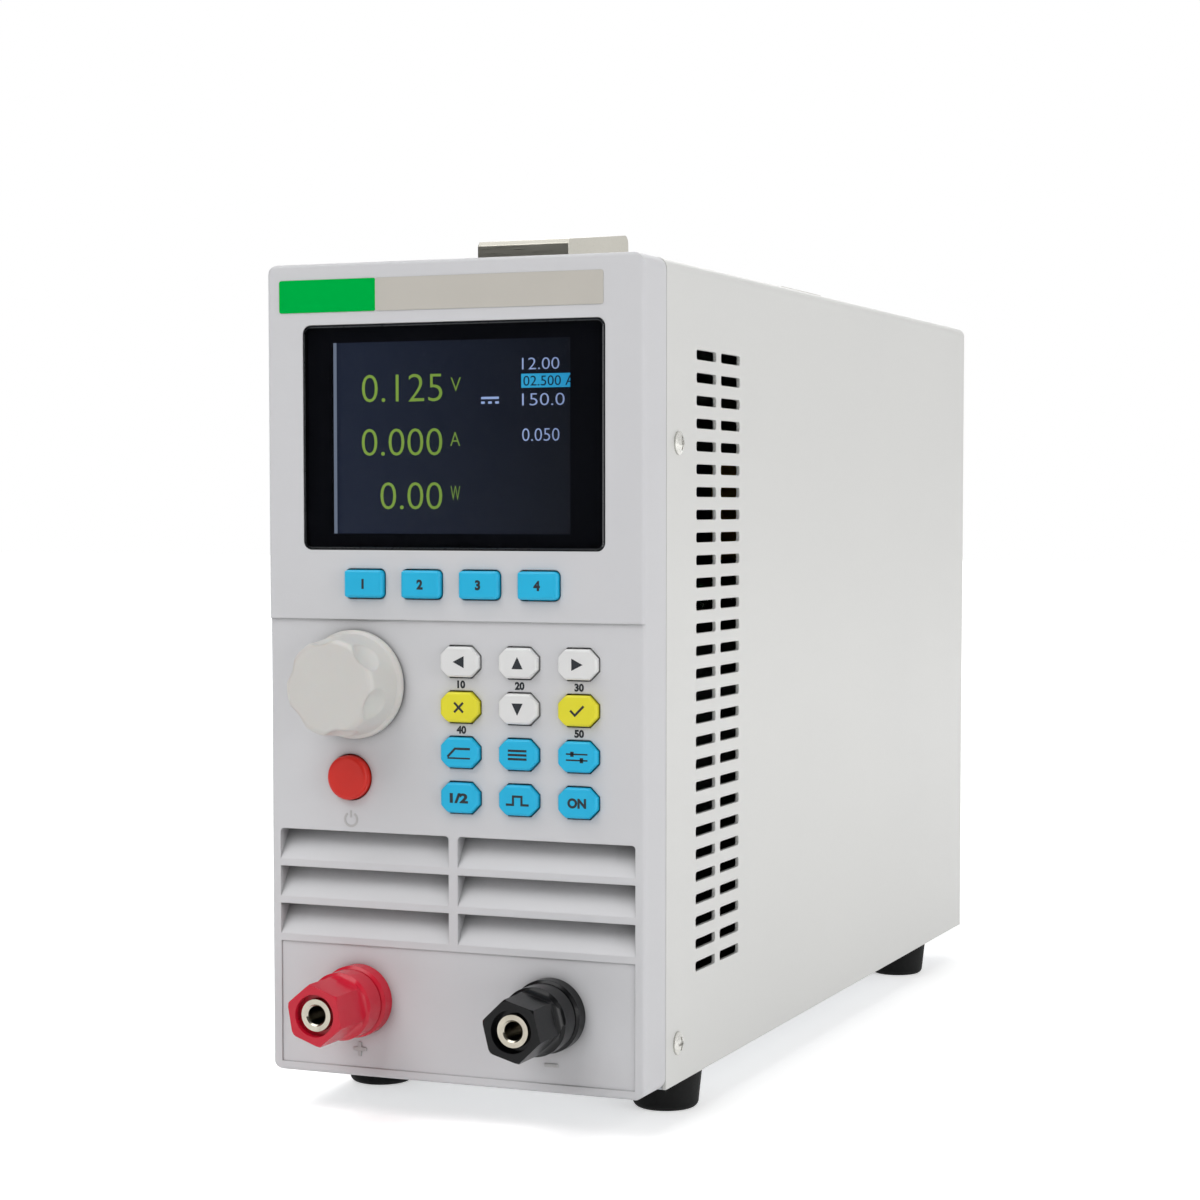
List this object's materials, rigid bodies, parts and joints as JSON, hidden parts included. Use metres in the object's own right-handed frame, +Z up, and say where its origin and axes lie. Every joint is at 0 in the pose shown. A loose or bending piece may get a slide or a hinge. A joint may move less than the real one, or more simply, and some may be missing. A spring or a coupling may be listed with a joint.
{
  "type": "dc electronic load",
  "caption": "Tall bench DC electronic load with a colour display, keypad, rotary knob, louvred front, red and black binding posts, vented steel case, rear fan and carrying strap.",
  "frame": {"origin": "under the middle of the object, on the surface that its feet stand on", "axes": "+Z up, -Y towards the user in front, +X to the right seen from the front"},
  "size_m": [0.0924, 0.2856, 0.2003],
  "materials": {
    "bezel_abs": "fine moulded texture",
    "cover_paint": "semi-gloss powder coat",
    "panel_paint": "semi-gloss powder coat",
    "zinc_sheet": "zinc plated",
    "zinc_screw": "zinc plated",
    "foot_rubber": "matt",
    "handle_chrome": "polished",
    "strap_vinyl": "grained",
    "lens_acrylic": "clear with a black printed border",
    "display_panel": "glossy",
    "circuit_board": "solder mask",
    "black_nylon": "moulded",
    "key_blue": "satin",
    "key_white": "satin",
    "key_yellow": "satin",
    "knob_abs": "satin",
    "button_red": "satin",
    "post_red": "gloss",
    "post_black": "gloss",
    "nickel_brass": "nickel plated",
    "lead_copper": "insulated",
    "guard_chrome": "bright wire",
    "sink_aluminium": "extruded",
    "standoff_brass": "turned",
    "transformer_iron": "varnished",
    "capacitor_sleeve": "shrink sleeve",
    "film_red": "dipped"
  },
  "bodies": {
    "case": {"front_bezel": "bezel_abs", "base_tray": "zinc_sheet", "rear_panel": "panel_paint", "top_cover": "cover_paint", "feet": "foot_rubber", "foot_screws": "zinc_screw", "cover_screws": "zinc_screw", "handle_front_cap": "handle_chrome", "handle_rear_cap": "handle_chrome", "handle_screws": "zinc_screw", "display_lens": "lens_acrylic", "display_module": "display_panel", "control_board": "circuit_board", "board_screws": "zinc_screw", "key_switches": "black_nylon", "encoder_body": "zinc_sheet", "encoder_nut": "zinc_screw", "power_switch": "black_nylon", "red_post_stud": "nickel_brass", "black_post_stud": "nickel_brass", "red_post_collar": "post_red", "black_post_collar": "post_black", "post_rear_nuts": "zinc_screw", "input_leads": "lead_copper", "fan_frame": "black_nylon", "fan_guard": "guard_chrome", "rear_screws": "zinc_screw", "mains_inlet": "black_nylon", "heat_sink": "sink_aluminium", "power_transistors": "black_nylon", "load_board": "circuit_board", "board_standoffs": "standoff_brass", "mains_transformer": "transformer_iron", "filter_capacitors": "capacitor_sleeve", "film_capacitor": "film_red"},
    "soft_key_1": {"soft_key_1": "key_blue"},
    "soft_key_2": {"soft_key_2": "key_blue"},
    "soft_key_3": {"soft_key_3": "key_blue"},
    "soft_key_4": {"soft_key_4": "key_blue"},
    "key_left": {"key_left": "key_white"},
    "key_up": {"key_up": "key_white"},
    "key_right": {"key_right": "key_white"},
    "key_back": {"key_back": "key_yellow"},
    "key_down": {"key_down": "key_white"},
    "key_confirm": {"key_confirm": "key_yellow"},
    "key_mode": {"key_mode": "key_blue"},
    "key_menu": {"key_menu": "key_blue"},
    "key_setup": {"key_setup": "key_blue"},
    "key_channel": {"key_channel": "key_blue"},
    "key_trigger": {"key_trigger": "key_blue"},
    "key_load": {"key_load": "key_blue"},
    "knob": {"control_knob": "knob_abs", "encoder_shaft": "zinc_screw"},
    "power_button": {"power_button": "button_red"},
    "red_washer": {"red_post_washer": "nickel_brass"},
    "red_nut": {"red_post_nut": "post_red"},
    "black_washer": {"black_post_washer": "nickel_brass"},
    "black_nut": {"black_post_nut": "post_black"},
    "fan_rotor": {"fan_rotor": "black_nylon"},
    "handle_strap": {"handle_strap": "strap_vinyl"}
  },
  "joints": [
    {"name": "soft_key_1_press", "type": "slide", "parent": "case", "child": "soft_key_1", "axis": [0, 1, 0], "range_m": [0, 0.0005], "stiffness_N_per_m": 600},
    {"name": "soft_key_2_press", "type": "slide", "parent": "case", "child": "soft_key_2", "axis": [0, 1, 0], "range_m": [0, 0.0005], "stiffness_N_per_m": 600},
    {"name": "soft_key_3_press", "type": "slide", "parent": "case", "child": "soft_key_3", "axis": [0, 1, 0], "range_m": [0, 0.0005], "stiffness_N_per_m": 600},
    {"name": "soft_key_4_press", "type": "slide", "parent": "case", "child": "soft_key_4", "axis": [0, 1, 0], "range_m": [0, 0.0005], "stiffness_N_per_m": 600},
    {"name": "key_left_press", "type": "slide", "parent": "case", "child": "key_left", "axis": [0, 1, 0], "range_m": [0, 0.0005], "stiffness_N_per_m": 600},
    {"name": "key_up_press", "type": "slide", "parent": "case", "child": "key_up", "axis": [0, 1, 0], "range_m": [0, 0.0005], "stiffness_N_per_m": 600},
    {"name": "key_right_press", "type": "slide", "parent": "case", "child": "key_right", "axis": [0, 1, 0], "range_m": [0, 0.0005], "stiffness_N_per_m": 600},
    {"name": "key_back_press", "type": "slide", "parent": "case", "child": "key_back", "axis": [0, 1, 0], "range_m": [0, 0.0005], "stiffness_N_per_m": 600},
    {"name": "key_down_press", "type": "slide", "parent": "case", "child": "key_down", "axis": [0, 1, 0], "range_m": [0, 0.0005], "stiffness_N_per_m": 600},
    {"name": "key_confirm_press", "type": "slide", "parent": "case", "child": "key_confirm", "axis": [0, 1, 0], "range_m": [0, 0.0005], "stiffness_N_per_m": 600},
    {"name": "key_mode_press", "type": "slide", "parent": "case", "child": "key_mode", "axis": [0, 1, 0], "range_m": [0, 0.0005], "stiffness_N_per_m": 600},
    {"name": "key_menu_press", "type": "slide", "parent": "case", "child": "key_menu", "axis": [0, 1, 0], "range_m": [0, 0.0005], "stiffness_N_per_m": 600},
    {"name": "key_setup_press", "type": "slide", "parent": "case", "child": "key_setup", "axis": [0, 1, 0], "range_m": [0, 0.0005], "stiffness_N_per_m": 600},
    {"name": "key_channel_press", "type": "slide", "parent": "case", "child": "key_channel", "axis": [0, 1, 0], "range_m": [0, 0.0005], "stiffness_N_per_m": 600},
    {"name": "key_trigger_press", "type": "slide", "parent": "case", "child": "key_trigger", "axis": [0, 1, 0], "range_m": [0, 0.0005], "stiffness_N_per_m": 600},
    {"name": "key_load_press", "type": "slide", "parent": "case", "child": "key_load", "axis": [0, 1, 0], "range_m": [0, 0.0005], "stiffness_N_per_m": 600},
    {"name": "power_press", "type": "slide", "parent": "case", "child": "power_button", "axis": [0, 1, 0], "range_m": [-0.0018, 0.0007], "stiffness_N_per_m": 400},
    {"name": "knob_turn", "type": "hinge", "parent": "case", "child": "knob", "pos_m": [-0.0235, -0.12245, 0.0965], "axis": [0, -1, 0], "continuous": true},
    {"name": "fan_spin", "type": "hinge", "parent": "case", "child": "fan_rotor", "pos_m": [0, 0.12755, 0.071], "axis": [0, 1, 0], "continuous": true},
    {"name": "strap_lift", "type": "slide", "parent": "case", "child": "handle_strap", "axis": [0, 0, 1], "range_m": [0, 0.002]},
    {"name": "red_washer_slide", "type": "slide", "parent": "case", "child": "red_washer", "axis": [0, -1, 0], "range_m": [0, 0.005]},
    {"name": "red_nut_turn", "type": "hinge", "parent": "red_washer", "child": "red_nut", "pos_m": [-0.0232, -0.13245, 0.0262], "axis": [0, -1, 0], "range_deg": [0, 1800]},
    {"name": "black_washer_slide", "type": "slide", "parent": "case", "child": "black_washer", "axis": [0, -1, 0], "range_m": [0, 0.005]},
    {"name": "black_nut_turn", "type": "hinge", "parent": "black_washer", "child": "black_nut", "pos_m": [0.0232, -0.13245, 0.0262], "axis": [0, -1, 0], "range_deg": [0, 1800]}
  ],
  "couplings": [
    {"joint": "red_nut_turn", "follows": "red_washer_slide", "rad_per_m": 6283.2},
    {"joint": "black_nut_turn", "follows": "black_washer_slide", "rad_per_m": 6283.2}
  ]
}
